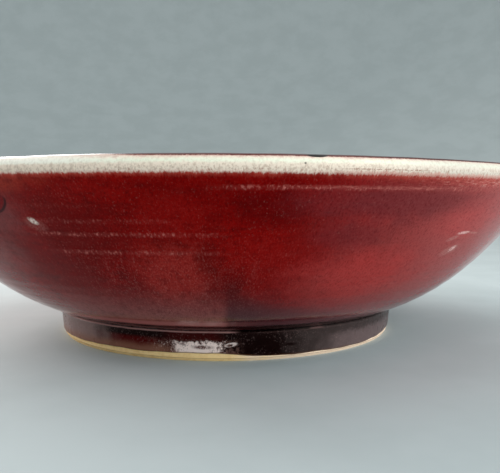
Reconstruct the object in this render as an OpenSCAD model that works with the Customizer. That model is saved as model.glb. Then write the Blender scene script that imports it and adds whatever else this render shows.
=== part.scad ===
// Wide shallow stoneware bowl, thrown on the wheel and turned to a broad foot ring.
// The clay is one piece. The glaze coats that are fused to it are separate solids, face to face with it.
// Millimetres, +Z up, with the origin on the table at the centre of the foot.

/* [Bowl] */
// Outside diameter over the glazed lip
rim_d = 236; // [190:1:300]
// Height from the table to the top of the lip
bowl_h = 60; // [50:1:90]
// Slope of the outside wall where it reaches the lip, degrees above level
rim_angle = 54; // [44:1:66]
// Length over which the upper wall holds that slope before it bends
rim_run = 35; // [20:1:42]
// Slope of the outside wall where it leaves the foot, degrees above level
base_angle = 21; // [14:1:30]
// Length over which the lower wall holds that slope before it bends
base_run = 21; // [12:1:30]

/* [Thickness] */
// Thickness of the lip, glaze included
lip_t = 5.4; // [4:0.1:8]
// Thickness of the wall where it leaves the foot, glaze included
wall_t = 8; // [6:0.1:11]
// Thickness of the floor at its centre, glaze included
floor_t = 6.5; // [5:0.1:9]
// Length of the level stretch at the middle of the floor
floor_run = 30; // [15:1:40]
// Length over which the wall's slope runs on into the floor
floor_blend = 8; // [4:1:14]

/* [Foot] */
// Outside diameter of the bare foot, just above its bevel
foot_d = 128; // [100:1:150]
// Height of the foot, from the table to the wall above it
foot_h = 10; // [9:0.1:14]
// How much wider the foot's radius is at its top than at its bevel
foot_flare = 0.6; // [0:0.1:2]
// Width of the flat edge that stands on the table
foot_w = 7; // [4:0.1:12]
// Width of the bevel on both edges of the foot
bevel_w = 0.6; // [0.2:0.1:1.5]
// Height of the bevel on both edges of the foot
bevel_h = 0.9; // [0.3:0.1:1.2]
// Height of the bare clay edge that was wiped clean of glaze
bare_h = 2; // [1.5:0.1:3]
// Depth of the groove turned between the wall and the foot
groove_d = 0.7; // [0.3:0.1:1.2]
// How far the groove's floor lies under the wall's lower end
groove_drop = 0.35; // [0.1:0.05:0.8]
// Height of the rounded shoulder below the groove
shoulder_h = 1.05; // [0.5:0.05:2]
// Depth of the well inside the foot ring, at its edge
well_depth = 5.6; // [4.6:0.1:8]
// Rise of the well's ceiling at its centre
well_dome = 0.4; // [0:0.1:1.5]
// How far the foot ring's inner side leans in towards the well
well_lean = 1.8; // [0.5:0.1:4]
// Size of the rounded corner between the well's side and ceiling
well_blend = 2.2; // [1:0.1:4]

/* [Glaze] */
// Thickness of the red coat on the outside wall
outer_glaze_t = 0.8; // [0.5:0.05:1.2]
// Thickness of the red coat on the inside
inner_glaze_t = 0.8; // [0.5:0.05:1.5]
// Thickness of the pale coat over the lip, where it ran thin
rim_glaze_t = 0.35; // [0.2:0.05:0.7]
// Thickness of the dark coat on the foot's outer side
foot_glaze_t = 0.55; // [0.3:0.05:0.9]
// Thickness of the coat inside the foot's well
well_glaze_t = 0.4; // [0.2:0.05:0.9]
// Height below the lip over which the red coats thin out
thin_h = 14; // [5:1:25]
// How far round the lip the red coat climbs past the wall, in degrees
band_margin = 8; // [2:1:25]
// Where the pale coat ends near the top of the lip, in degrees above level
crown_angle = 62; // [45:1:100]
// Height of the rolled lower edge of a coat, where it stops on bare clay
roll_h = 0.5; // [0.2:0.1:1]

/* [Throwing rings] */
// Spacing of the finger rings along the outside wall
ring_pitch = 5; // [3:0.1:8]
// Length of wall above the topmost ridge between two rings
ring_top = 4.1; // [0:0.1:8]
// Depth of the rings in the clay
ring_depth = 0.22; // [0:0.02:0.4]
// Depth of the rings that still shows on the glaze
ring_show = 0.03; // [0:0.01:0.2]

/* [Hidden] */
$fn = 180;

// Steps along each kind of curve
wall_steps = 112;
floor_steps = 24;
lip_steps = 10;
corner_steps = 6;

// A level or a distance blended between two others, and the same with soft ends
function mix(a, b, t) = a + (b - a) * t;
function soft(t) = t <= 0 ? 0 : t >= 1 ? 1 : t * t * (3 - 2 * t);
function reversed(list) = [for (i = [len(list) - 1:-1:0]) list[i]];
function without_first(list) = [for (i = [1:len(list) - 1]) list[i]];
function last(list) = list[len(list) - 1];
function heading(angle) = [cos(angle), sin(angle)];
function right_of(dir) = [dir[1], -dir[0]];

// A point of a cubic curve with four control points, and the curve's direction there
function cubic(p, t) =
    pow(1 - t, 3) * p[0] + 3 * pow(1 - t, 2) * t * p[1] + 3 * (1 - t) * t * t * p[2] + pow(t, 3) * p[3];
function cubic_dir(p, t) =
    let (d = pow(1 - t, 2) * (p[1] - p[0]) + 2 * (1 - t) * t * (p[2] - p[1]) + t * t * (p[3] - p[2]))
    d / norm(d);
function bend(a, corner, b) =
    [for (i = [0:corner_steps]) let (t = i / corner_steps) mix(mix(a, corner, t), mix(corner, b, t), t)];

// Lip: a half round whose two ends are square to the wall below it
lip_centre = [(rim_d - lip_t) / 2, bowl_h - lip_t / 2];
lip_start = rim_angle - 90;
lip_end = rim_angle + 90;
band_low = lip_start + band_margin;
lip_clay_r = lip_t / 2 - rim_glaze_t;
function lip_arc(r, from, to) =
    [for (i = [1:lip_steps]) lip_centre + r * heading(mix(from, to, i / lip_steps))];

// Outside wall: one curve from the top of the foot to the lip, on the glazed surface
foot_r = foot_d / 2;
foot_top_r = foot_r + foot_flare;
wall_foot = [foot_top_r + outer_glaze_t, foot_h];
wall_top = lip_centre + lip_t / 2 * heading(lip_start);
wall_curve = [
    wall_foot,
    wall_foot + base_run * heading(base_angle),
    wall_top - rim_run * heading(rim_angle),
    wall_top
];
// A point under the glazed outside surface, u from 0 at the foot to 1 at the lip
function under_wall(u, depth) = cubic(wall_curve, u) - depth * right_of(cubic_dir(wall_curve, u));
function thinned(u) = soft((cubic(wall_curve, u)[1] - wall_top[1] + thin_h) / thin_h);
function outer_coat(u) = mix(outer_glaze_t, rim_glaze_t, thinned(u));
function inner_coat(u) = mix(inner_glaze_t, rim_glaze_t, thinned(u));
function full_wall(u) = mix(wall_t, lip_t, u);
wall_us = [for (i = [0:wall_steps]) i / wall_steps];
// Finger rings: hollows between ridges that are evenly spaced along the wall, and none at its two ends
wall_points = [for (u = wall_us) cubic(wall_curve, u)];
function length_up_to(i) = i == 0 ? 0 : length_up_to(i - 1) + norm(wall_points[i] - wall_points[i - 1]);
wall_lengths = [for (i = [0:wall_steps]) length_up_to(i)];
wall_length = last(wall_lengths);
function ring_fade(length) = soft(2 * min(length, wall_length - length) / ring_pitch);
function ring_wave(length) =
    ring_fade(length) * pow(sin(180 * (wall_length - ring_top - length) / ring_pitch), 2);
ring_waves = [for (length = wall_lengths) ring_wave(length)];
outer_skin = [for (i = [0:wall_steps]) under_wall(wall_us[i], ring_show * ring_waves[i])];
outer_clay = [for (i = [0:wall_steps])
    under_wall(wall_us[i], outer_coat(wall_us[i]) + ring_depth * ring_waves[i])];
inner_skin = [for (u = wall_us) under_wall(u, full_wall(u))];
inner_clay = [for (u = wall_us) under_wall(u, full_wall(u) - inner_coat(u))];

// Floor: the inside wall's slope runs on and levels out at the centre
floor_z = well_depth + well_dome + floor_t;
floor_curve = [
    inner_skin[0],
    inner_skin[0] - floor_blend * heading(base_angle),
    [floor_run, floor_z],
    [0, floor_z]
];
function under_floor(v, depth) = cubic(floor_curve, v) - depth * right_of(cubic_dir(floor_curve, v));
floor_vs = [for (i = [1:floor_steps]) i / floor_steps];
floor_skin = [for (v = floor_vs) under_floor(v, 0)];
floor_clay = [for (v = floor_vs) under_floor(v, inner_glaze_t)];

// Foot, outer side: bevel, bare edge, leaning wall, rounded shoulder and the groove above it
shoulder_z = foot_h - groove_drop - shoulder_h;
function foot_side(z) = mix(foot_r, foot_top_r, (z - bevel_h) / (shoulder_z - bevel_h));
function shoulder(coat) =
    [for (i = [0:corner_steps]) let (a = 90 * i / corner_steps)
        [foot_top_r + coat - groove_d * (1 - cos(a)), shoulder_z + shoulder_h * sin(a)]];
// The rolled edge of a coat that stops at the bare edge, from the clay up to the coat's full thickness
function rolled_edge(side_r, coat) =
    [for (i = [0:corner_steps]) let (a = 90 * i / corner_steps)
        [side_r + coat * sin(a), bare_h + roll_h * (1 - cos(a))]];
foot_clay = concat([[foot_side(bare_h), bare_h]], shoulder(0));
foot_skin = concat(rolled_edge(foot_side(bare_h), foot_glaze_t), shoulder(foot_glaze_t));

// Foot, inner side: bevel, leaning wall, rounded corner and the well's ceiling
edge_out_r = foot_r - bevel_w;
edge_in_r = edge_out_r - foot_w;
well_low = [edge_in_r - bevel_w, bevel_h];
well_corner = [well_low[0] - well_lean, well_depth];
well_top = [0, well_depth + well_dome];
// The corner's rounding is limited by the height of glazed wall below it
corner_size = min(well_blend, well_depth - bare_h - roll_h);
function well_side(z) = mix(well_low[0], well_corner[0], (z - bevel_h) / (well_depth - bevel_h));
function towards(a, b, length) = a + length * (b - a) / norm(b - a);
well_bend = bend(
    towards(well_corner, well_low, corner_size), well_corner, towards(well_corner, well_top, corner_size));
well_skin_corner = well_corner - [well_glaze_t, well_glaze_t];
well_skin_bend = bend(
    well_bend[0] - [well_glaze_t, 0], well_skin_corner, well_bend[corner_steps] - [0, well_glaze_t]);
well_clay = concat([[well_side(bare_h), bare_h]], well_bend, [well_top]);
well_skin = concat(
    rolled_edge(well_side(bare_h), -well_glaze_t), well_skin_bend, [well_top - [0, well_glaze_t]]);

// Lip outlines, cut where one coat gives way to the next
lip_red_clay = lip_arc(lip_clay_r, lip_start, band_low);
lip_pale_clay = lip_arc(lip_clay_r, band_low, crown_angle);
lip_inside_clay = lip_arc(lip_clay_r, crown_angle, lip_end);
lip_red_skin = lip_arc(lip_t / 2, lip_start, band_low);
lip_pale_skin = lip_arc(lip_t / 2, band_low, crown_angle);
lip_inside_skin = lip_arc(lip_t / 2, crown_angle, lip_end);

// A solid of revolution between a coat's clay side and its glazed side, both listed in the same direction
module coat(clay_side, skin_side) {
    rotate_extrude() polygon(concat(clay_side, reversed(skin_side)));
}

// The thrown and turned clay: wall, floor and foot ring in one piece
module clay_body() {
    under = reversed(well_clay);
    edge = [well_low, [edge_in_r, 0], [edge_out_r, 0], [foot_r, bevel_h]];
    lip = concat(lip_red_clay, lip_pale_clay, lip_inside_clay);
    inside = concat(without_first(reversed(inner_clay)), floor_clay);
    color("burlywood") rotate_extrude() polygon(concat(under, edge, foot_clay, outer_clay, lip, inside));
}

// The red coat on the outside wall, from the groove up to the pale band
module outer_glaze() {
    color("darkred") coat(concat(outer_clay, lip_red_clay), concat(outer_skin, lip_red_skin));
}

// The pale band round the lip
module rim_glaze() {
    color("linen") coat(
        concat([last(lip_red_clay)], lip_pale_clay),
        concat([last(lip_red_skin)], lip_pale_skin));
}

// The red lining, from the top of the lip to the centre of the floor
module inner_glaze() {
    clay_wall = without_first(reversed(inner_clay));
    skin_wall = without_first(reversed(inner_skin));
    color("brown") coat(
        concat([last(lip_pale_clay)], lip_inside_clay, clay_wall, floor_clay),
        concat([last(lip_pale_skin)], lip_inside_skin, skin_wall, floor_skin));
}

// The dark coat on the foot's outer side, pooled in the groove and stopped above the bare edge
module foot_glaze() {
    color("maroon") coat(
        concat(foot_clay, [outer_clay[0]]),
        concat(without_first(foot_skin), [outer_skin[0]]));
}

// The coat in the well, with its rolled edge on the foot ring's inner side
module well_glaze() {
    color("tan") coat(well_clay, without_first(well_skin));
}

clay_body();
outer_glaze();
rim_glaze();
inner_glaze();
foot_glaze();
well_glaze();
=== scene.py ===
"""A copper-red studio bowl: the look of its clay and of each glaze coat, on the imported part's outlines."""
import math
from collections import defaultdict

import bpy
import numpy as np
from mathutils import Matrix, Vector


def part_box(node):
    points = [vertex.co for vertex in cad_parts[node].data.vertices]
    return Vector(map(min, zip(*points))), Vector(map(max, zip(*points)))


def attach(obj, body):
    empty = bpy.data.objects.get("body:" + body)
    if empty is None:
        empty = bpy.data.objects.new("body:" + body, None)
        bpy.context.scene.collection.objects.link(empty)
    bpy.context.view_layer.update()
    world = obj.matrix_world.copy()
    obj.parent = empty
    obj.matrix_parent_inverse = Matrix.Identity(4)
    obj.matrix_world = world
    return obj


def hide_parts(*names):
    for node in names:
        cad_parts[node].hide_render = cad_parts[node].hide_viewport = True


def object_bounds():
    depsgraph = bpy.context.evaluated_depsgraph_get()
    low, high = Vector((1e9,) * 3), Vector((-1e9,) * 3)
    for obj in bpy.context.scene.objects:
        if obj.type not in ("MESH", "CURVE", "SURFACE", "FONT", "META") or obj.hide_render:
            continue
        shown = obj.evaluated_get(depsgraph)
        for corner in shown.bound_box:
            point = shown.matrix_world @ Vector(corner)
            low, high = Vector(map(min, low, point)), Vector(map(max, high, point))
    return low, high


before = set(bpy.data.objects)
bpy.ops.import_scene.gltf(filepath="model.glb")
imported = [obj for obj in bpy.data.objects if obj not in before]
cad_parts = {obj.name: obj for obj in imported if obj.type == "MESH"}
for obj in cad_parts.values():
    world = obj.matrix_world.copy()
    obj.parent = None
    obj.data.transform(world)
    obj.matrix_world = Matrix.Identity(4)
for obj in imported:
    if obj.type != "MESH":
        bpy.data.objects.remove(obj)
cad_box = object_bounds()

# Sizes are in mm and angles in degrees. Azimuth is 0 at the front (-Y) and rises to the right (+X).
MM = 0.001
RIM_R = cad_box[1].x / MM
BOWL_H = cad_box[1].z / MM
LIP_R = 2.7
LIP_CENTRE = (RIM_R - LIP_R, BOWL_H - LIP_R)
FOOT_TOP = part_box("outer_glaze")[0].z / MM
BARE_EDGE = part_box("foot_glaze")[0].z / MM

# Mesh: columns round the axis, longest stretch and turn between rows, and the turn that makes an edge
COLUMNS = 256
ROW_LENGTH = 0.9
ROW_TURN = 5.0
CREASE_ANGLE = 35.0
SAME_POINT = 1e-6
AXIS_R = 1e-3

# Camera, fitted to the photo: its place, how far it looks down and right, its focal length in pixels
CAMERA_PLACE = (0.0, -250.5, 49.0)
CAMERA_DOWN = 3.16
CAMERA_RIGHT = 2.14
FOCAL_PIXELS = 610.9
IMAGE_WIDTH = 500
SENSOR = 36.0
CLIP_START = 5.0


def tone(red, green, blue):
    """A colour written in screen values from 0 to 255, as the linear light that shaders take."""
    linear = [c / 12.92 if c <= 0.04045 else ((c + 0.055) / 1.055) ** 2.4
              for c in (red / 255, green / 255, blue / 255)]
    return (*linear, 1.0)


# Outlines and meshes

def outline_of(node):
    """The node's section through +X as (radius, height) points in order, anticlockwise round the solid."""
    spot = {v.index: (round(v.co.x / MM, 3), round(v.co.z / MM, 3)) for v in node.data.vertices
            if abs(v.co.y) < SAME_POINT and v.co.x > -SAME_POINT}
    near = defaultdict(set)
    for edge in node.data.edges:
        a, b = (spot.get(i) for i in edge.vertices)
        if a and b and a != b:
            near[a].add(b)
            near[b].add(a)
    ends = sorted(p for p in near if len(near[p]) == 1)
    path = [ends[0] if ends else min(near)]
    path.append(min(near[path[0]]))
    while len(near[path[-1]]) == 2:
        onward = max(near[path[-1]] - {path[-2]})
        if onward == path[0]:
            break
        path.append(onward)
    points = np.array(path)
    r, z = points.T
    area = np.sum(r * np.roll(z, -1) - np.roll(r, -1) * z)
    return (points if area > 0 else points[::-1]), not ends


def outline_keys(node_name):
    """The points of a node's outline as a set, to find those that two nodes share."""
    points, _ = outline_of(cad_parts[node_name])
    return {tuple(p) for p in points.tolist()}


class Rows:
    """The rows of a lathe: radius, height, way out of the solid, and 1 where the row may move, else 0."""

    def __init__(self, points, covered, closed):
        self.closed = closed
        self.points = points
        self.free = np.array([tuple(p) not in covered for p in points.tolist()])
        count = len(points)
        self.segments = count if closed else count - 1
        steps = np.roll(points, -1, axis=0) - points
        self.length = np.hypot(*steps.T)
        self.slope = steps / np.maximum(self.length, SAME_POINT)[:, None]
        self.crease = [self.is_crease(i) for i in range(count)]
        made = [row for i in range(self.segments) for row in self.segment_rows(i)]
        if not closed:
            made.append((*points[-1], *self.outward(count - 1), float(self.free[-1])))
        self.r, self.z, self.out_r, self.out_z, self.loose = np.array(made).T

    def is_crease(self, i):
        """Whether the outline turns sharply at point i, or ends there."""
        if not self.closed and i in (0, len(self.points) - 1):
            return True
        before, after = self.slope[i - 1], self.slope[i]
        return math.degrees(math.acos(np.clip(before @ after, -1, 1))) > CREASE_ANGLE

    def tangent(self, i, segment):
        """The outline's direction at point i, on the side of the given segment if there is a crease."""
        if self.crease[i]:
            return self.slope[segment]
        before, after = self.length[i - 1], self.length[i]
        return (self.slope[i - 1] * after + self.slope[i] * before) / (before + after)

    def outward(self, i):
        """The way out of the solid at point i, taken from the stretches that face the air."""
        touching = [s for s in (i - 1, i) if self.closed or 0 <= s < self.segments]
        airy = [s for s in touching if self.free[s] and self.free[(s + 1) % len(self.points)]]
        t = sum(self.tangent(i, s) for s in (airy or touching))
        return np.array([t[1], -t[0]]) / max(np.hypot(*t), SAME_POINT)

    def segment_rows(self, i):
        """Rows from point i up to the next one, on a smooth curve where the stretch faces the air."""
        j = (i + 1) % len(self.points)
        a, b, span = self.points[i], self.points[j], self.length[i]
        ta, tb = self.tangent(i, i), self.tangent(j, i)
        seen = self.free[i] or self.free[j]
        turn = math.degrees(math.acos(np.clip(ta @ tb / (np.hypot(*ta) * np.hypot(*tb)), -1, 1)))
        parts = max(math.ceil(span / ROW_LENGTH), math.ceil(turn / ROW_TURN), 1) if seen else 1
        yield (*a, *self.outward(i), float(self.free[i]))
        # A cubic along both tangents: p is its point at the share t, and d its direction
        for t in np.arange(1, parts) / parts:
            u = 1 - t
            p = (1 + 2 * t) * u * u * a + t * t * (3 - 2 * t) * b + t * u * span * (u * ta - t * tb)
            d = 6 * t * u * (b - a) / span + (1 - 4 * t + 3 * t * t) * ta + (3 * t * t - 2 * t) * tb
            yield (*p, d[1] / np.hypot(*d), -d[0] / np.hypot(*d), 1.0)


def wander(seed, count, orders, rates):
    """A seeded wave of about unit size, closed round the bowl and uneven along radius plus height."""
    rng = np.random.default_rng(seed)
    order = rng.integers(orders[0], orders[1] + 1, count)
    rate = rng.uniform(*rates, count) * rng.choice([-1, 1], count)
    phase = rng.uniform(0, 2 * math.pi, count)

    def wave(azimuth, along):
        total = 0
        for k, q, p in zip(order, rate, phase):
            total = total + np.cos(k * np.radians(azimuth) + q * along + p)
        return total * math.sqrt(2 / count)
    return wave


# How far a hand-thrown bowl is from a true one, and the radius and heights at which the swell sets in
RIM_WOBBLE = 0.16
RIM_RISE = 0.24
SWELL = 0.015
RIDGE = 0.007
SWELL_FULL_R = 20.0
SWELL_HEIGHTS = (0.5, 3.0)
rim_wobble = wander(11, 5, (2, 5), (0.0, 0.01))
rim_rise = wander(2421, 5, (2, 4), (0.0, 0.01))
glaze_swell = wander(13, 40, (8, 60), (0.05, 0.45))
throwing_ridge = wander(14, 30, (0, 3), (0.7, 1.9))


def soft_step(value, start, stop):
    """0 at start, 1 at stop, with soft ends; start may be the larger."""
    t = np.clip((value - start) / (stop - start), 0, 1)
    return t * t * (3 - 2 * t)


# The dark coat's lower edge on the foot: lobes of (azimuth, half width, rise above the CAD edge)
FOOT_EDGE_LOBES = [(-32, 16, 0.4), (-7, 11, 0.55), (14, 10, -0.55), (40, 18, -0.75), (85, 20, 0.3),
                   (120, 18, -0.3), (165, 22, 0.35), (-150, 18, -0.25), (-105, 20, 0.4), (-70, 12, -0.2)]
# A lobe ends at the first of these shares of its half width and has its full rise at the second
LOBE_END, LOBE_FULL = 1.6, 0.2
FOOT_EDGE_REACH = 2.6
FOOT_EDGE_RIPPLE = 0.05
foot_edge_ripple = wander(15, 12, (15, 60), (0.0, 0.01))


def foot_edge_rise(azimuth):
    """How far the foot coat's lower edge lies above the CAD edge at an azimuth."""
    rise = FOOT_EDGE_RIPPLE * foot_edge_ripple(azimuth, 0)
    for centre, half, height in FOOT_EDGE_LOBES:
        apart = np.abs((azimuth - centre + 180) % 360 - 180)
        rise = rise + height * soft_step(apart, LOBE_END * half, LOBE_FULL * half)
    return rise


def placed(rows, azimuth, is_foot_coat):
    """Points of the lathe, rows by columns, with the small departures of a thrown and glazed piece."""
    r, z = rows.r[:, None], rows.z[:, None]
    along = r + z
    loose = rows.loose[:, None] * np.minimum(r / SWELL_FULL_R, 1)
    proud = loose * (SWELL * glaze_swell(azimuth, along) + RIDGE * throwing_ridge(azimuth, along))
    proud = proud * soft_step(z, *SWELL_HEIGHTS)
    out_r, out_z = r + proud * rows.out_r[:, None], z + proud * rows.out_z[:, None]
    if is_foot_coat:
        share = soft_step(z, BARE_EDGE + FOOT_EDGE_REACH, BARE_EDGE)
        out_z = out_z + share * foot_edge_rise(azimuth)
    height_share = soft_step(z, FOOT_TOP, BOWL_H)
    out_r = out_r + height_share * RIM_WOBBLE * rim_wobble(azimuth, 0) * np.minimum(r / RIM_R, 1)
    out_z = out_z + height_share * RIM_RISE * rim_rise(azimuth, 0)
    turn = np.radians(azimuth)
    return np.stack([out_r * np.sin(turn), -out_r * np.cos(turn), out_z + 0 * turn], axis=-1)


def lathe_faces(index, on_axis, closed):
    """Quads between each row and the next, or triangles where one of the two is a point on the axis."""
    faces = []
    pairs = list(range(len(index) - 1)) + ([-1] if closed else [])
    for j in pairs:
        a, b = index[j], index[j + 1]
        quads = np.stack([a, b, np.roll(b, -1), np.roll(a, -1)], axis=1)
        if on_axis[j]:
            quads = quads[:, :3]
        elif on_axis[j + 1]:
            quads = np.stack([a, b, np.roll(a, -1)], axis=1)
        faces.extend(quads.tolist())
    return faces


def add_mesh(name, vertices, faces):
    """A smooth mesh object in the scene."""
    mesh = bpy.data.meshes.new(name)
    mesh.from_pydata(vertices, [], faces)
    mesh.shade_smooth()
    made = bpy.data.objects.new(name, mesh)
    bpy.context.scene.collection.objects.link(made)
    return made


def lathe(name, node_name, covered, is_foot_coat):
    """A closed mesh of a CAD node's outline turned round +Z, with one vertex where it meets the axis."""
    points, closed = outline_of(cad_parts[node_name])
    rows = Rows(points, covered, closed)
    azimuth = np.linspace(-180, 180, COLUMNS, endpoint=False)[None, :]
    grid = placed(rows, azimuth, is_foot_coat) * MM
    on_axis = rows.r < AXIS_R
    vertices, index = [], []
    for ring, pole in zip(grid, on_axis):
        index.append(len(vertices) + (np.zeros(COLUMNS, int) if pole else np.arange(COLUMNS)))
        vertices.extend(ring[:1].tolist() if pole else ring.tolist())
    made = add_mesh(name, vertices, lathe_faces(index, on_axis, closed))
    made.data.set_sharp_from_angle(angle=math.radians(CREASE_ANGLE))
    return made


# Materials

class Wire:
    """A value that flows through a material's nodes. The usual signs work on it if it is a number."""

    def __init__(self, graph, socket):
        self.graph, self.socket = graph, socket

    def __add__(self, other):
        return self.graph.math("ADD", self, other)

    def __sub__(self, other):
        return self.graph.math("SUBTRACT", self, other)

    def __rsub__(self, other):
        return self.graph.math("SUBTRACT", other, self)

    def __mul__(self, other):
        return self.graph.math("MULTIPLY", self, other)

    def __truediv__(self, other):
        return self.graph.math("DIVIDE", self, other)


class Graph:
    """A material under construction, with short calls for the nodes that the bowl needs."""

    def __init__(self, name):
        self.material = bpy.data.materials.new(name)
        self.material.use_nodes = True
        self.tree = self.material.node_tree
        self.tree.nodes.clear()
        self.shader = self.add("ShaderNodeBsdfPrincipled")
        output = self.add("ShaderNodeOutputMaterial")
        self.tree.links.new(self.shader.outputs[0], output.inputs["Surface"])

    def add(self, kind, **settings):
        node = self.tree.nodes.new(kind)
        for key, value in settings.items():
            setattr(node, key, value)
        return node

    def plug(self, socket, value):
        if isinstance(value, Wire):
            self.tree.links.new(value.socket, socket)
        else:
            socket.default_value = value

    def math(self, operation, a, b=0.0):
        node = self.add("ShaderNodeMath", operation=operation)
        self.plug(node.inputs[0], a)
        self.plug(node.inputs[1], b)
        return Wire(self, node.outputs[0])

    def most(self, a, b):
        return self.math("MAXIMUM", a, b)

    def fade(self, value, start, stop):
        """0 at start, 1 at stop, with soft ends; start may be the larger."""
        node = self.add("ShaderNodeMapRange", interpolation_type="SMOOTHSTEP")
        for socket, v in zip(node.inputs, (value, start, stop, 0.0, 1.0)):
            self.plug(socket, v)
        return Wire(self, node.outputs[0])

    def hump(self, value, centre, half):
        """1 at the centre, 0 from half its width away."""
        return self.fade(self.math("ABSOLUTE", value - centre), half, 0.0)

    def window(self, value, low, high, soft):
        """1 between low and high, with edges of the given softness."""
        return self.fade(value, low - soft, low + soft) * self.fade(value, high + soft, high - soft)

    def oval(self, across, up):
        """The distance from an oval's centre, counted in its half sizes."""
        return self.math("SQRT", across * across + up * up)

    def spot(self, at, azimuth, height, half_azimuth, half_height, core=0.0, lean=0.0):
        """A soft oval mark at an azimuth and height; lean moves its upper part to the right."""
        up = (at.z - height) / half_height
        across = (at.azimuth - azimuth) / half_azimuth - up * lean
        return self.fade(self.oval(across, up), 1.0, core)

    def noise(self, point, size, detail=2.0, roughness=0.5):
        """Cloudy noise from 0 to 1, with features of about the given size in mm."""
        node = self.add("ShaderNodeTexNoise")
        self.plug(node.inputs["Vector"], point)
        self.plug(node.inputs["Scale"], 1 / size)
        self.plug(node.inputs["Detail"], detail)
        self.plug(node.inputs["Roughness"], roughness)
        return Wire(self, node.outputs["Fac"])

    def dots(self, point, spacing, radius, share):
        """Sparse round specks: a share of the cells of the given spacing holds one."""
        node = self.add("ShaderNodeTexVoronoi")
        self.plug(node.inputs["Vector"], point)
        self.plug(node.inputs["Scale"], 1 / spacing)
        picked = self.add("ShaderNodeSeparateColor")
        self.tree.links.new(node.outputs["Color"], picked.inputs[0])
        chosen = self.fade(Wire(self, picked.outputs[0]), share, share * 0.8)
        edge = radius / spacing
        return self.fade(Wire(self, node.outputs["Distance"]), edge, 0.3 * edge) * chosen

    def mix(self, share, a, b):
        node = self.add("ShaderNodeMix", data_type="RGBA")
        for socket, v in zip((node.inputs[0], node.inputs[6], node.inputs[7]), (share, a, b)):
            self.plug(socket, v)
        return Wire(self, node.outputs[2])

    def joined(self, x, y, z):
        node = self.add("ShaderNodeCombineXYZ")
        for socket, v in zip(node.inputs, (x, y, z)):
            self.plug(socket, v)
        return Wire(self, node.outputs[0])

    def bump(self, height, depth):
        """A bump of the given depth in mm for a height that runs from 0 to 1."""
        node = self.add("ShaderNodeBump")
        node.inputs["Distance"].default_value = depth * MM
        self.plug(node.inputs["Height"], height)
        self.plug(self.shader.inputs["Normal"], Wire(self, node.outputs[0]))

    def finish(self, colour, roughness):
        self.plug(self.shader.inputs["Base Color"], colour)
        self.plug(self.shader.inputs["Roughness"], roughness)
        return self.material


class Place:
    """Where a point of the bowl is: in mm, by azimuth and by the angle round the lip's centre."""

    def __init__(self, g):
        node = g.add("ShaderNodeTexCoord")
        scaled = g.add("ShaderNodeVectorMath", operation="SCALE")
        g.tree.links.new(node.outputs["Object"], scaled.inputs[0])
        scaled.inputs["Scale"].default_value = 1 / MM
        self.point = Wire(g, scaled.outputs[0])
        split = g.add("ShaderNodeSeparateXYZ")
        g.tree.links.new(scaled.outputs[0], split.inputs[0])
        x, y, self.z = (Wire(g, s) for s in split.outputs)
        self.r = g.math("SQRT", x * x + y * y)
        degree = 180 / math.pi
        self.azimuth = g.math("ARCTAN2", x, y * -1) * degree
        self.lip = g.math("ARCTAN2", self.z - LIP_CENTRE[1], self.r - LIP_CENTRE[0]) * degree
        self.drum = (x / self.r * RIM_R, y / self.r * RIM_R)
        self.g = g

    def streaked(self, stretch):
        """Coordinates in which noise is drawn out along the fall of the wall by the given factor."""
        return self.g.joined(*self.drum, self.z * (1 / stretch))

    def sideways(self, start, stop):
        """A fade over the azimuth from the front, the same to the left and to the right."""
        return self.g.fade(self.g.math("ABSOLUTE", self.azimuth), start, stop)


# The red coat
RED_DEEP = tone(114, 2, 2)
RED_CLEAR = tone(134, 4, 3)
RED_POOLED = tone(82, 1, 3)
RED_PINK = tone(172, 88, 82)


def copper_red(g, at):
    """The body of the red: broad drifts, bands laid by the wheel, a fine grain and sparse pinholes."""
    drift = g.fade(g.noise(at.point, 22.0, 2.0), 0.38, 0.62)
    colour = g.mix(drift, RED_DEEP, RED_CLEAR)
    wheel = g.noise(at.streaked(0.13), 12.0, 3.0, 0.6)
    colour = g.mix(g.fade(wheel, 0.5, 0.34) * 0.42, colour, RED_POOLED)
    grain = g.noise(at.streaked(1.3), 0.55, 2.0, 0.6)
    colour = g.mix(g.fade(grain, 0.5, 0.3) * 0.6, colour, RED_POOLED)
    return g.mix(g.dots(at.point, 3.6, 0.3, 0.4) * 0.4, colour, RED_PINK)


# Looks of the photo's right side: the azimuths where they are gone and where they start to fade
RIGHT_END = (110.0, 60.0)


class Wall(Place):
    """A place on the outside wall, with the ragged edge, brush marks and sides that its looks share."""

    def __init__(self, g):
        super().__init__(g)
        self.ragged = (g.noise(self.point, 7.0, 3.0, 0.6) - 0.5) * 0.9
        self.brushed = g.noise(self.streaked(0.16), 2.0, 3.0, 0.7)
        self.away = self.sideways(50.0, 85.0)
        self.right_side = self.right_of(0.0, 10.0)

    def right_of(self, start, full):
        """0 left of start and 1 right of full, as far as the photo shows the wall."""
        return self.g.fade(self.azimuth, start, full) * self.g.fade(self.azimuth, *RIGHT_END)


# Ring lines on the outside: (height, left azimuth, right azimuth, strength)
RING_LINES = [(52.4, 0, 34, 1.0), (48.4, -30, -18, 0.2), (44.6, -25, -8, 0.4), (41.3, -26, -2, 0.85),
              (36.7, -24, -3, 0.8), (40.5, 100, 160, 0.6), (52.3, -140, -95, 0.6), (36.5, 165, 180, 0.5),
              (44.5, -120, -70, 0.45), (48.4, 60, 110, 0.4)]
RING_PINK = tone(190, 104, 96)

# A thin thread beside the topmost line: height, left azimuth, right azimuth
TOP_THREAD = (52.5, 10.0, 27.0)


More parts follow.
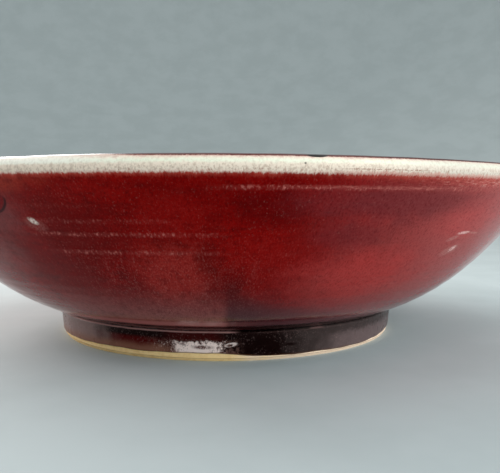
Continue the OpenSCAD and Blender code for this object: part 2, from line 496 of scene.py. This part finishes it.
def ring_lines(g, at):
    """Broken pale lines on the ridges between throwing rings, where the glaze is thinnest."""
    wave = (g.noise(at.streaked(8.0), 7.0, 2.0) - 0.5) * 0.45
    ticks = g.fade(g.noise(at.streaked(1.5), 0.7, 2.0, 0.6), 0.5, 0.66)
    patches = g.fade(g.noise(at.streaked(6.0), 3.5, 2.0), 0.38, 0.6)
    total = 0.0
    for height, left, right, strength in RING_LINES:
        line = g.hump(at.z + wave, height, 0.85) * g.window(at.azimuth, left, right, 4.0)
        total = g.most(total, line * strength)
    return total * (ticks * 0.9 + 0.12) * (patches * 0.75 + 0.25)


def lined(g, at, colour):
    """The red with its ring lines and the thread."""
    colour = g.mix(ring_lines(g, at), colour, RING_PINK)
    height, left, right = TOP_THREAD
    thread = g.hump(at.z + at.ragged * 0.8, height, 0.6) * g.window(at.azimuth, left, right, 5.0)
    return g.mix(thread * (g.fade(at.brushed, 0.45, 0.62) * 0.6 + 0.14), colour, RING_PINK)


# Drifts of colour on the outside: azimuth, height, half width in degrees, half height, strength, colour
HAZE_AND_SHEEN = tone(170, 72, 70)
RUST = tone(156, 58, 40)
REFLECTION_VEIL = tone(124, 74, 74)
CRIMSON = tone(142, 12, 10)
MAUVE = tone(108, 40, 44)
ROSE = tone(184, 58, 55)
EMBER = tone(160, 42, 36)
OXBLOOD = tone(100, 1, 2)
BRIGHT = tone(180, 67, 65)
# The grey-mauve drifts on the left are painted reflection of the floor; the mauve ones on the right are
# partly the glaze's tone and partly painted reflection
DRIFTS = [(-20, 42, 9, 13, 0.8, OXBLOOD), (-30, 54.6, 9, 3.2, 0.65, RUST), (-31, 46.5, 4.5, 7.0, 0.4, REFLECTION_VEIL),
          (-40, 36, 9, 9, 0.45, REFLECTION_VEIL), (-7.5, 31, 6.5, 10, 0.7, EMBER), (-6, 45, 6, 7, 0.6, CRIMSON),
          (5, 47.5, 6, 6, 0.6, RED_POOLED), (-2.5, 34.5, 2.2, 4.5, 0.5, RED_POOLED),
          (6.5, 33, 8, 11, 0.8, CRIMSON), (23, 49.3, 17, 5.8, 0.7, MAUVE), (22, 28.6, 13, 9.5, 0.82, ROSE),
          (38, 44, 8, 6, 0.8, BRIGHT), (17, 41, 7, 4.2, 0.45, MAUVE)]


def drifted(g, at, colour):
    """The red with haze on its right that is partly painted reflection of the floor, haze in patches away
    from the front, and its drifts. The red with haze on its right and in patches out of the photo's
    sight, and with its drifts.
    """
    patches = g.fade(g.noise(at.point, 45.0, 2.0), 0.45, 0.66) * at.away
    # On the right: the glaze's milky haze together with painted reflection of the floor
    colour = g.mix(g.most(at.right_of(4.0, 40.0), patches), colour, HAZE_AND_SHEEN)
    for azimuth, height, half_azimuth, half_height, strength, drift in DRIFTS:
        reach = g.oval((at.azimuth - azimuth) / half_azimuth, (at.z - height) / half_height)
        colour = g.mix(g.fade(reach + at.ragged, 1.25, 0.3) * strength, colour, drift)
    return colour


# Low on the wall: a pale greyish veil, painted reflection of the floor, and on the right painted shade
LOW_SHEEN = tone(150, 78, 75)
LOW_SHADE_RIGHT = tone(152, 64, 67)


def low_sheen_and_shade(g, at, colour):
    """The red with a pale greyish veil low on the wall as painted reflection and shade, which starts lower
    on the right side.
    """
    # Painted reflection of the floor low on the wall, with painted shade on the right
    sheen_and_shade = g.fade(at.z + at.ragged * 4 + at.right_side * 3, 28.0, 14.5) * 0.95
    return g.mix(sheen_and_shade, colour, g.mix(at.right_side, LOW_SHEEN, LOW_SHADE_RIGHT))


# Runs of thick glaze behind, and in front a painted reflection of a dark shape, drawn like a run. The front
# one's right edge: a least azimuth, and lines (degrees per mm, at height 0)
RUN_AND_REFLECTION_HIGH = tone(90, 2, 5)
RUN_AND_REFLECTION_LOW = tone(78, 34, 42)
REFLECTION_LEAST = 3.0
REFLECTION_LINES = [(-2.6, 68.0), (-5.0, 118.0)]


def runs_and_dark_reflection(g, at):
    """The share of the dark marks: in front a painted reflection of a dark shape, sharp on its left and
    fading to the right, and runs of thick glaze behind.
    """
    right = REFLECTION_LEAST
    for slope, start in REFLECTION_LINES:
        right = g.most(at.z * slope + start, right)
    # In front: a painted reflection of a dark shape, sharp on its left and widening to the right lower down
    front = (g.fade(at.azimuth + at.ragged, -1.3, 0.6) * g.fade(at.azimuth + at.ragged * 3, right, 1.0)
             * g.fade(at.z + at.ragged * 3, 34.0, 25.0))
    others = g.fade(g.noise(at.streaked(7.0), 15.0, 2.0), 0.56, 0.68) * g.fade(at.z, 36.0, 20.0)
    return g.most(front, others * at.away)


# The strip between the lip and the topmost ring line
STRIP_LEFT = tone(140, 7, 4)
STRIP_RIGHT = tone(196, 90, 82)
STREAK_PINK = tone(208, 150, 138)


def stripped(g, at, colour):
    """The red with the strip below the lip: clear on the left, pale and brushed on the far right."""
    far_right = at.right_of(14.0, 40.0)
    shown = 1.0 - at.away
    strip = g.fade(at.z + at.ragged * 0.6, 52.2, 53.2) * shown
    near_lip = g.fade(at.z, 52.6, 54.6)
    share = strip * far_right * near_lip * 0.6 + g.fade(at.z, 50.0, 55.0) * shown * 0.38
    colour = g.mix(share, colour, g.mix(far_right, STRIP_LEFT, STRIP_RIGHT))
    colour = g.mix(strip * g.window(at.azimuth, 5.0, 13.0, 3.0) * 0.5, colour, RED_DEEP)
    lively = strip * far_right * (near_lip * 0.7 + 0.3)
    colour = g.mix(g.fade(at.brushed, 0.5, 0.66) * lively * 0.8, colour, STREAK_PINK)
    return g.mix(g.fade(at.brushed, 0.48, 0.34) * lively * 0.7, colour, RED_POOLED)


# The grain
GRIT = tone(186, 124, 116)


def grained(g, at, colour):
    """The red with small dark clouds, darker on the left, a fine grain and pale grit low at the front."""
    left_side = 1.0 - at.right_side
    cloud = g.noise(at.streaked(0.7), 3.2, 3.0, 0.65)
    colour = g.mix(g.fade(cloud, 0.5, 0.34) * (left_side * 0.26 + 0.08), colour, RED_POOLED)
    gritty = g.fade(at.z, 42.0, 28.0) * g.hump(at.azimuth, -9.0, 22.0)
    colour = g.mix(g.fade(cloud, 0.52, 0.7) * (gritty * 0.05 + 0.012), colour, GRIT)
    grain = g.noise(at.streaked(1.2), 0.5, 2.0, 0.65)
    colour = g.mix(g.fade(grain, 0.5, 0.32) * 0.42, colour, RED_POOLED)
    flecks = g.fade(grain, 0.5, 0.72) * (gritty * 0.17 + 0.03) + g.fade(grain, 0.62, 0.78) * 0.13
    return g.mix(flecks, colour, GRIT)


# The wall's lower end: a pale sill, and below it the dark glaze that pooled in the groove
SILL = tone(205, 126, 122)
SILL_RIGHT = tone(138, 104, 108)
GROOVE_POOL = tone(54, 6, 7)
GROOVE_GREY = tone(42, 25, 25)


def grooved(g, at, colour, run):
    """The red with its sill, fainter under the runs and the painted reflection, and the pool below it, both
    greyer on the right.
    """
    greyer = g.fade(at.azimuth, 0.0, 12.0) * (1.0 - at.away)
    sill = g.window(at.z + at.ragged * 0.6, 11.8, 14.3, 0.5) * (0.7 - run * 0.45)
    colour = g.mix(sill, colour, g.mix(greyer, SILL, SILL_RIGHT))
    pool = g.fade(at.z + at.ragged * 0.4, 12.7, 11.8) * 0.92
    return g.mix(pool, colour, g.mix(greyer, GROOVE_POOL, GROOVE_GREY))


# Scars in the glaze: azimuth, height, half width in degrees, half height, lean, strength, colour
SCAR = tone(232, 214, 202)
SCAR_ROSE = tone(236, 182, 176)
SCARS = [(-25.9, 43.6, 2.0, 2.4, -0.3, 0.25, GRIT), (-25.95, 44.5, 0.8, 1.2, -0.45, 1.0, SCAR),
         (38.4, 35.6, 2.4, 2.2, 0.5, 0.55, GRIT), (36.5, 39.2, 1.3, 1.2, 0.8, 0.6, GRIT),
         (38.4, 40.7, 2.0, 0.6, 0.3, 0.95, SCAR_ROSE), (41.4, 40.5, 1.8, 0.5, -0.5, 0.6, GRIT),
         (38.8, 36.0, 0.8, 1.2, 0.25, 1.0, SCAR_ROSE)]

# A dark oval, its dark edge first: azimuth, height, half width in degrees, half height, core, colour
DARK_OVAL_LEAN = 0.8
DARK_OVAL = [(-30.0, 48.6, 1.45, 2.4, 0.75, tone(52, 2, 6)), (-30.3, 49.0, 1.45, 2.35, 0.8, tone(108, 3, 8))]


def scarred(g, at, colour):
    """The red with a dark oval and its scars, whose crumbs let the red through."""
    # A dark oval with a darker edge, its upper part leaning to the right
    for azimuth, height, half_azimuth, half_height, core, mark in DARK_OVAL:
        dark_oval = g.spot(at, azimuth, height, half_azimuth, half_height, core, DARK_OVAL_LEAN)
        colour = g.mix(dark_oval, colour, mark)
    crumbs = g.fade(g.noise(at.point, 0.5, 3.0, 0.7), 0.36, 0.54)
    for azimuth, height, half_azimuth, half_height, lean, strength, mark in SCARS:
        scar = g.spot(at, azimuth, height, half_azimuth, half_height, 0.4, lean)
        colour = g.mix(scar * crumbs * strength, colour, mark)
    return colour


def outside_red(g, at):
    """The red of the outside wall, with everything that lies on it from the lip to the groove."""
    run = runs_and_dark_reflection(g, at)
    colour = low_sheen_and_shade(g, at, drifted(g, at, copper_red(g, at)))
    # The runs, and the painted reflection in front, darken the red
    colour = g.mix(run * 0.9, colour, g.mix(g.fade(at.z, 26.0, 16.0), RUN_AND_REFLECTION_HIGH, RUN_AND_REFLECTION_LOW))
    colour = grained(g, at, stripped(g, at, colour))
    colour = grooved(g, at, lined(g, at, colour), run)
    return scarred(g, at, colour)


# The pale lip: angles are measured round the lip's centre, from 0 at its outermost line to 90 on top
CREAM = tone(233, 214, 196)
CREAM_GREEN = tone(230, 232, 210)
CREAM_HIGHLIGHT = tone(242, 236, 224)
CREAM_SHADE = tone(178, 168, 158)
CREAM_PINK = tone(200, 166, 156)
CREAM_TAN = tone(166, 138, 120)
CREAM_GREY = tone(198, 190, 178)
FRINGE_PALE = tone(228, 196, 181)
FRINGE_PINK = tone(204, 146, 133)
FRINGE_BROWN = tone(136, 70, 54)
FRINGE_GLOW = tone(190, 78, 64)
LIP_LINE = tone(64, 14, 14)
BAND_LOW, BAND_HIGH = -37.5, 55.0
BAND_LEAN = 9.0


def cream(g, at):
    """The pale coat: greenish mid-lip as tone and painted highlight, painted highlight and shade on the
    left, pinkish near the top, grained with tan and dark ticks below, the tan heavier low down as painted
    shade.
    """
    blot = g.noise(at.point, 1.3, 3.0, 0.65) - 0.5
    grain = g.noise(at.streaked(1.3), 0.5, 3.0, 0.7)
    # Greenish round the lip's middle: partly the coat's tone, partly a painted highlight
    colour = g.mix(g.hump(at.lip + blot * 30, 24.0, 20.0) * 0.9, CREAM, CREAM_GREEN)
    left = g.window(at.azimuth, -60.0, -15.0, 8.0)
    # Painted highlight on the upper lip at the left, and painted shade on its top there
    colour = g.mix(left * g.fade(at.lip + blot * 20, 4.0, 20.0) * 0.9, colour, CREAM_HIGHLIGHT)
    colour = g.mix(left * g.fade(at.lip, 52.0, 66.0) * 0.9, colour, CREAM_SHADE)
    colour = g.mix(g.fade(at.lip + blot * 40, 38.0, 54.0) * (1.0 - left) * 0.9, colour, CREAM_PINK)
    right = g.fade(at.azimuth, 14.0, 30.0) * g.fade(at.azimuth, 90.0, 50.0)
    colour = g.mix(right * 0.6, colour, CREAM_GREY)
    low = g.fade(at.lip + blot * 40, 18.0, -8.0)
    mottle = g.fade(grain * 0.6 + g.noise(at.point, 0.9, 2.0, 0.6) * 0.4, 0.46, 0.6)
    # Tan mottle, heavier on the lower half of the lip as painted shade
    colour = g.mix(mottle * (low * 0.34 + 0.2), colour, CREAM_TAN)
    ticks = g.fade(g.noise(at.streaked(3.0), 0.42, 2.0, 0.6), 0.56, 0.68)
    return g.mix(ticks * g.fade(at.lip, 6.0, -26.0) * 0.6, colour, FRINGE_BROWN)


# Iron: a spot by azimuth, angle round the lip and half sizes, and a pit by azimuth, height and half sizes
IRON = tone(10, 8, 8)
IRON_SPOT = (9.9, 64.0, 1.4, 20.0)
IRON_PIT = (8.4, 57.7, 0.2, 0.35)


def iron_marks(g, at):
    """The share of the dark iron spot on the lip and of the pit below it."""
    azimuth, angle, half_azimuth, half_angle = IRON_SPOT
    spot = g.fade(g.oval((at.azimuth - azimuth) / half_azimuth, (at.lip - angle) / half_angle), 1.0, 0.75)
    return g.most(spot, g.spot(at, *IRON_PIT, core=0.3) * 0.8)


def lip_break(g, at, red):
    """Red that breaks to cream over the lip, feathered downwards in fine streaks."""
    streak = g.noise(at.streaked(2.0), 0.5, 3.0, 0.75) - 0.5
    drift = g.noise(at.streaked(4.0), 3.5, 3.0, 0.6) - 0.5
    seen = at.sideways(120.0, 60.0)
    lean = (g.fade(at.azimuth, -32.0, 32.0) * 2.0 - 1.0) * seen
    low = at.lip + streak * 44 + drift * 16 + lean * BAND_LEAN
    top = at.lip + streak * 20 - g.fade(at.azimuth, -9.0, -16.0) * g.fade(at.azimuth, -100.0, -60.0) * 26
    red = g.mix(g.fade(top, BAND_HIGH - 6, BAND_HIGH) * g.fade(at.lip, 150.0, 95.0) * 0.9, red, LIP_LINE)
    haze = g.fade(low, BAND_LOW - 34, BAND_LOW - 2) * g.fade(top, BAND_HIGH + 10, BAND_HIGH)
    haze = haze * (g.fade(drift, -0.2, 0.2) * 0.4 + 0.3 - g.window(at.azimuth, 7.0, 14.0, 3.0) * 0.25)
    edge = g.mix(g.fade(at.lip, -10.0, 20.0), FRINGE_GLOW, FRINGE_BROWN)
    pale = g.mix(g.hump(low, BAND_LOW + 2, 12.0) * 0.75, cream(g, at), FRINGE_PALE)
    pinkish = g.fade(at.azimuth, 6.0, 20.0) * seen * g.fade(low, BAND_LOW + 24, BAND_LOW + 8)
    pale = g.mix(pinkish * 0.75, pale, FRINGE_PINK)
    dashes = g.hump(at.lip + drift * 8, -17.0, 5.0) * g.window(at.azimuth, 13.0, 24.0, 2.0)
    pale = g.mix(dashes * g.fade(streak, -0.12, 0.08) * 0.8, pale, FRINGE_BROWN)
    body = g.fade(low, BAND_LOW - 10, BAND_LOW + 8) * g.fade(top, BAND_HIGH + 4, BAND_HIGH - 6)
    colour = g.mix(body, g.mix(haze, red, edge), pale)
    return g.mix(iron_marks(g, at), colour, IRON)


# Gloss of each coat: refraction, specular level, its tint, the least roughness, depth of the orange peel
WALL_GLOSS = (1.24, 0.4, (1.0, 0.1, 0.09, 1.0), 0.08, 0.02)
LIP_GLOSS = (1.36, 0.14, (1.0, 1.0, 1.0, 1.0), 0.42, 0.02)
LINING_GLOSS = (1.45, 0.35, (1.0, 0.6, 0.56, 1.0), 0.1, 0.025)
FOOT_GLOSS = (1.35, 0.2, (1.0, 0.5, 0.45, 1.0), 0.26, 0.03)


def glassy(g, at, gloss):
    """The gloss of a fired glaze: a faint orange peel, and pores that dull it a little."""
    refraction, level, tint, least, depth = gloss
    g.shader.inputs["IOR"].default_value = refraction
    g.shader.inputs["Specular IOR Level"].default_value = level
    g.shader.inputs["Specular Tint"].default_value = tint
    peel = g.noise(at.point, 1.8, 2.0, 0.55) * 0.7 + g.noise(at.point, 0.4, 2.0) * 0.3
    g.bump(peel, depth)
    return g.fade(g.noise(at.point, 3.0, 3.0, 0.6), 0.3, 0.8) * 0.1 + least


def red_wall():
    """The outside wall's coat, which ends on the lip."""
    g = Graph("red_wall_glaze")
    at = Wall(g)
    return g.finish(lip_break(g, at, outside_red(g, at)), glassy(g, at, WALL_GLOSS))


def pale_lip():
    """The pale coat over the lip."""
    g = Graph("pale_lip_glaze")
    at = Place(g)
    return g.finish(lip_break(g, at, copper_red(g, at)), glassy(g, at, LIP_GLOSS))


# The lining
LINING_POOL = tone(66, 6, 9)
LINING_STREAK = tone(150, 82, 74)


def lining():
    """The inside: red with pale streaks that run down from the lip, and a darker pool on the floor."""
    g = Graph("lining_glaze")
    at = Place(g)
    colour = copper_red(g, at)
    pool = g.fade(at.r + (g.noise(at.point, 12.0, 3.0) - 0.5) * 24, 62.0, 34.0)
    colour = g.mix(pool * 0.8, colour, LINING_POOL)
    streak = g.noise(at.streaked(14.0), 1.1, 3.0, 0.65)
    reach = g.fade(at.z + (g.noise(at.streaked(20.0), 4.0, 2.0) - 0.5) * 16, 44.0, 60.0)
    colour = g.mix(g.fade(streak, 0.45, 0.7) * reach * 0.8, colour, LINING_STREAK)
    return g.finish(lip_break(g, at, colour), glassy(g, at, LINING_GLOSS))


# The foot's coat
FOOT_BLACK = tone(10, 1, 1)
FOOT_RED = tone(80, 4, 4)
FOOT_GREY = tone(66, 55, 53)
FOOT_TAUPE = tone(104, 86, 85)
FOOT_LEFT = tone(156, 126, 122)
FOOT_CRUMB = tone(112, 80, 72)
FOOT_PALE_PATCH = tone(252, 228, 220)
FOOT_BROWN = tone(112, 70, 44)
FOOT_BREAK_AND_HIGHLIGHT = tone(206, 150, 145)
FOOT_WARM = tone(58, 6, 6)
FOOT_THIN = tone(146, 100, 82)
SHOULDER = 9.35

# Marks on the foot: azimuth, height, half width in degrees, half height
PATCH_PLACE = (-8.0, 4.1, 6.5, 2.2)
PATCH_EYE = (-6.8, 4.6, 4.0, 1.0)
PATCH_STROKE = (0.9, 5.4, 1.9, 0.9)
STROKE_HOLE = (0.7, 5.2, 1.0, 0.5)
STROKE_LEAN = 0.5
DARK_BLOB = (17.6, 4.8, 3.0, 0.7)


class Foot(Place):
    """A place on the foot, with the clouds, the ragged edge and the sides that its looks share."""

    def __init__(self, g):
        super().__init__(g)
        self.cloud = g.noise(self.point, 5.0, 3.0, 0.6)
        self.ragged = (self.cloud - 0.5) * 14
        self.away = self.sideways(60.0, 90.0)
        self.shown = 1.0 - self.away


def foot_pale_patch(g, at):
    """The pale patch on the front of the foot, crumbling at its ends, with a dark eye."""
    crumble = g.noise(at.point, 0.8, 4.0, 0.75) - 0.5
    fray = g.noise(at.point, 3.2, 3.0, 0.7) - 0.5
    azimuth, height, half_azimuth, half_height = PATCH_PLACE
    across = g.math("ABSOLUTE", at.azimuth - azimuth) / half_azimuth
    up = g.math("ABSOLUTE", at.z - height) / half_height
    patch = g.fade(g.most(across, up) + crumble * 1.3 + fray * 1.4, 1.15, 0.6)
    eye = g.spot(at, *PATCH_EYE, core=0.25)
    patch = patch * (1.0 - eye * g.fade(crumble, -0.22, 0.06))
    sparse = g.window(at.azimuth, -20.0, -12.0, 2.0) * g.fade(at.z, 7.0, 5.0) * g.fade(crumble, 0.04, 0.16)
    hole = g.spot(at, *STROKE_HOLE, core=0.5, lean=STROKE_LEAN)
    stroke = g.spot(at, *PATCH_STROKE, core=0.6, lean=STROKE_LEAN) * (1.0 - hole)
    return g.most(patch, g.most(sparse * 0.8, stroke * g.fade(crumble, -0.14, 0.02) * 0.8))


def foot_edge_wire(g, at):
    """The rise of the coat's lower edge above the CAD edge, as the material sees it."""
    rise = 0.0
    for centre, half, height in FOOT_EDGE_LOBES:
        apart = g.math("ABSOLUTE", at.azimuth - centre)
        rise = g.fade(apart, LOBE_END * half, LOBE_FULL * half) * height + rise
    return rise


def foot_ground(g, at):
    """Near black at the front, dark red and pale brown to its left, grey and taupe to its right; the pale
    brown, grey and taupe are painted reflection of the floor.
    """
    edge = at.azimuth + at.ragged
    glow = g.window(edge, -38.0, -19.0, 5.0) * g.fade(at.z, 7.8, 6.2)
    colour = g.mix(g.window(at.azimuth + at.ragged * 0.4, -17.0, -2.0, 3.0), FOOT_BLACK, FOOT_WARM)
    colour = g.mix(g.most(glow, g.fade(at.cloud, 0.45, 0.62) * at.away), colour, FOOT_RED)
    # Painted reflection of the floor: pale brown on the left, grey on the right
    colour = g.mix(g.fade(edge, -31.0, -47.0) * at.shown * 0.85, colour, FOOT_LEFT)
    colour = g.mix(g.fade(edge, 13.0, 26.0) * at.shown * 0.85, colour, FOOT_GREY)
    # Taupe low on the right: painted reflection of the floor
    drawn = g.noise(at.streaked(0.3), 2.6, 4.0, 0.7) - 0.5
    low = g.fade(at.z + at.ragged * 0.1 + drawn * 5, 7.8, 5.6) * 0.85 + 0.1
    return g.mix(g.fade(edge, 22.0, 40.0) * at.shown * low, colour, FOOT_TAUPE)


def foot_marks(g, at, colour):
    """The foot's ground with crumbs round the pale patch, a dark blob, specks and the patch itself."""
    crumbs = g.fade(g.noise(at.point, 1.0, 4.0, 0.75), 0.42, 0.6)
    fringe = g.window(at.azimuth + at.ragged * 0.3, -22.0, 3.0, 2.0) * g.fade(at.z, 7.6, 5.8)
    colour = g.mix(fringe * crumbs * 0.8, colour, FOOT_CRUMB)
    colour = g.mix(g.spot(at, *DARK_BLOB, core=0.3) * 0.9, colour, FOOT_BLACK)
    specks = g.fade(g.noise(at.point, 0.55, 2.0, 0.7), 0.56, 0.7) * g.fade(at.cloud, 0.4, 0.55)
    colour = g.mix(specks * 0.28, colour, FOOT_LEFT)
    return g.mix(foot_pale_patch(g, at), colour, FOOT_PALE_PATCH)


def foot_edges(g, at, colour):
    """The foot's coat where it is thin: in a line along the shoulder that is also a painted highlight, and
    above the bare clay.
    """
    # Along the shoulder: thin glaze and a painted highlight
    line_reach = g.fade(at.azimuth, 4.0, 0.0) + g.window(at.azimuth, 24.0, 28.0, 1.0) * 0.3
    thin_and_highlit_line = g.hump(at.z + (at.cloud - 0.5) * 0.3, SHOULDER, 0.42) * line_reach
    colour = g.mix(thin_and_highlit_line * 0.9, colour, FOOT_BREAK_AND_HIGHLIGHT)
    gap = at.z - BARE_EDGE - foot_edge_wire(g, at)
    thin = g.fade(gap + at.ragged * 0.1, 3.6, 0.7) * g.fade(at.azimuth, -12.0, -20.0)
    colour = g.mix(thin * 0.75, colour, FOOT_THIN)
    return g.mix(g.fade(gap + at.ragged * 0.03, 0.6, 0.1) * 0.7, colour, FOOT_BROWN)


def dark_foot():
    """The foot's coat: near black where it pooled, red and brown where thin, grey brown at the sides as
    painted reflection of the floor, and a pale patch at the front.
    """
    g = Graph("dark_foot_glaze")
    at = Foot(g)
    colour = foot_edges(g, at, foot_marks(g, at, foot_ground(g, at)))
    return g.finish(colour, glassy(g, at, FOOT_GLOSS))


# The well under the foot
WELL_RED = tone(92, 34, 28)
WELL_TAN = tone(150, 108, 80)


def thin_well():
    """The thin coat under the foot: red brown, breaking to tan along turning lines."""
    g = Graph("thin_well_glaze")
    at = Place(g)
    lines = g.math("SINE", at.r * 2.6 + g.noise(at.point, 14.0) * 7) * 0.5 + 0.5
    cloud = g.noise(at.point, 9.0, 4.0, 0.6)
    colour = g.mix(g.fade(cloud + lines * 0.12, 0.42, 0.72), WELL_RED, WELL_TAN)
    colour = g.mix(g.dots(at.point, 4.0, 0.4, 0.3) * 0.7, colour, IRON)
    g.bump(lines * 0.5 + cloud, 0.05)
    return g.finish(colour, g.fade(cloud, 0.3, 0.7) * 0.2 + 0.3)


# The bare clay
CLAY = tone(255, 218, 156)
CLAY_PALE = tone(255, 223, 198)
CLAY_TOASTED = tone(236, 186, 120)
CLAY_LINE = tone(146, 98, 60)
BEVEL_TOP = 0.9


def bare_clay():
    """Bare stoneware: fine grit, turning lines, a paler right side and a painted shadow line along the
    bevel.
    """
    g = Graph("bare_stoneware")
    at = Place(g)
    grit = g.noise(at.point, 0.35, 3.0, 0.7)
    patches = g.noise(at.point, 18.0, 3.0) - 0.5
    pale_side = g.window(at.azimuth + patches * 40, 8.0, 130.0, 8.0)
    colour = g.mix(g.fade(g.noise(at.point, 2.0, 3.0, 0.6), 0.4, 0.7) * 0.5, CLAY, CLAY_TOASTED)
    colour = g.mix(pale_side * 0.9, colour, CLAY_PALE)
    # A painted shadow line along the bevel
    bevel = g.hump(at.z + (g.noise(at.point, 2.0) - 0.5) * 0.2, BEVEL_TOP, 0.25)
    colour = g.mix(bevel * 0.5, colour, CLAY_LINE)
    colour = g.mix(g.fade(grit, 0.62, 0.75) * 0.5, colour, CLAY_LINE)
    turning = g.math("SINE", (at.z + at.r) * 9.0 + g.noise(at.point, 6.0) * 3) * 0.5 + 0.5
    g.bump(grit * 0.7 + turning * 0.3, 0.06)
    return g.finish(colour, g.fade(grit, 0.2, 0.8) * 0.2 + 0.7)


# Pieces: name, CAD node, what makes its material, record slot
BODY_NODE = "clay_body"
FOOT_NODE = "foot_glaze"
PIECES = [
    ("thrown_clay", BODY_NODE, bare_clay, "bare_clay"),
    ("red_wall_coat", "outer_glaze", red_wall, "red_glaze"),
    ("pale_lip_coat", "rim_glaze", pale_lip, "pale_glaze"),
    ("lining_coat", "inner_glaze", lining, "lining_glaze"),
    ("dark_foot_coat", FOOT_NODE, dark_foot, "dark_glaze"),
    ("thin_well_coat", "well_glaze", thin_well, "well_glaze"),
]


def build_bowl():
    """The clay and its coats. Where the two meet, their rows are covered and keep to the CAD outline."""
    keys = {node: outline_keys(node) for _, node, _, _ in PIECES}
    under_coats = set().union(*(keys[node] for node in keys if node != BODY_NODE))
    for name, node, material, slot in PIECES:
        covered = under_coats if node == BODY_NODE else keys[BODY_NODE]
        piece = lathe(name, node, covered, is_foot_coat=node == FOOT_NODE)
        piece.data.materials.append(material())
        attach(piece, "root")
        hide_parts(node)


# Stage: a floor of rings, a cove that bends up through a quarter turn, and an upright wall
STAGE_RINGS = (1.0, 80.0, 200.0, 500.0)
STAGE_FLOOR_R = 600.0
STAGE_COVE_R = 1200.0
STAGE_COVE_STEPS = 18
STAGE_WALL_H = 1250.0
STAGE_COLUMNS = 160
STAGE_PALE = tone(174, 183, 184)
STAGE_SHADE = tone(168, 177, 178)


def stage_material():
    """A matt grey with faint clouds."""
    g = Graph("stage_board")
    at = Place(g)
    cloud = g.noise(at.point, 60.0, 4.0, 0.6)
    return g.finish(g.mix(g.fade(cloud, 0.35, 0.65), STAGE_PALE, STAGE_SHADE), 0.9)


def build_stage():
    """A round board that curves up into a backdrop on every side."""
    bend = [(STAGE_FLOOR_R + STAGE_COVE_R * math.sin(a), STAGE_COVE_R * (1 - math.cos(a)))
            for a in np.radians(np.linspace(0, 90, STAGE_COVE_STEPS + 1))]
    profile = [(r, 0.0) for r in STAGE_RINGS] + bend
    profile.append((STAGE_FLOOR_R + STAGE_COVE_R, STAGE_WALL_H))
    turn = np.radians(np.linspace(0, 360, STAGE_COLUMNS, endpoint=False))
    vertices = [(r * math.cos(a) * MM, r * math.sin(a) * MM, z * MM) for r, z in profile for a in turn]
    faces = [[j * STAGE_COLUMNS + i, j * STAGE_COLUMNS + (i + 1) % STAGE_COLUMNS,
              (j + 1) * STAGE_COLUMNS + (i + 1) % STAGE_COLUMNS, (j + 1) * STAGE_COLUMNS + i]
             for j in range(len(profile) - 1) for i in range(STAGE_COLUMNS)]
    faces.append(list(range(STAGE_COLUMNS)))
    board = add_mesh("stage_board", vertices, faces)
    board.data.materials.append(stage_material())


# Light: name, place in mm, width and height in mm, power in watts, colour
LAMPS = [
    ("left_window", (-490, 390, 310), (800, 340), 7.5, (1.0, 0.945, 0.92)),
    ("right_fill", (490, -390, 310), (900, 360), 5.0, (0.9, 0.98, 1.0)),
]
WORLD_COLOUR = (0.97, 1.0, 1.0, 1.0)
WORLD_STRENGTH = 0.86


def build_lamps():
    """Soft lamps that face the bowl and stay out of the picture."""
    for name, place, size, power, colour in LAMPS:
        lamp = bpy.data.lights.new(name, "AREA")
        lamp.shape = "RECTANGLE"
        lamp.size, lamp.size_y = (side * MM for side in size)
        lamp.energy = power
        lamp.color = colour
        holder = bpy.data.objects.new(name, lamp)
        holder.location = [c * MM for c in place]
        aim = bpy.data.objects.new(name + "_aim", None)
        bpy.context.scene.collection.objects.link(holder)
        bpy.context.scene.collection.objects.link(aim)
        toward = holder.constraints.new("TRACK_TO")
        toward.target = aim
        toward.track_axis, toward.up_axis = "TRACK_NEGATIVE_Z", "UP_Y"
        holder.visible_camera = False


def build_world():
    """Even light from all round, shown without a film look."""
    world = bpy.data.worlds.new("soft_grey")
    bpy.context.scene.world = world
    world.use_nodes = True
    background = world.node_tree.nodes["Background"]
    background.inputs["Color"].default_value = WORLD_COLOUR
    background.inputs["Strength"].default_value = WORLD_STRENGTH
    bpy.context.scene.view_settings.view_transform = "Standard"


def build_camera():
    """The photo's camera, as fitted to the bowl's rim, wall and foot."""
    data = bpy.data.cameras.new("camera")
    data.sensor_width = SENSOR
    data.lens = SENSOR * FOCAL_PIXELS / IMAGE_WIDTH
    data.clip_start = CLIP_START * MM
    camera = bpy.data.objects.new("camera", data)
    camera.location = [c * MM for c in CAMERA_PLACE]
    camera.rotation_euler = (math.radians(90 - CAMERA_DOWN), 0.0, math.radians(-CAMERA_RIGHT))
    bpy.context.scene.collection.objects.link(camera)
    bpy.context.scene.camera = camera


build_bowl()
build_stage()
build_lamps()
build_world()
build_camera()
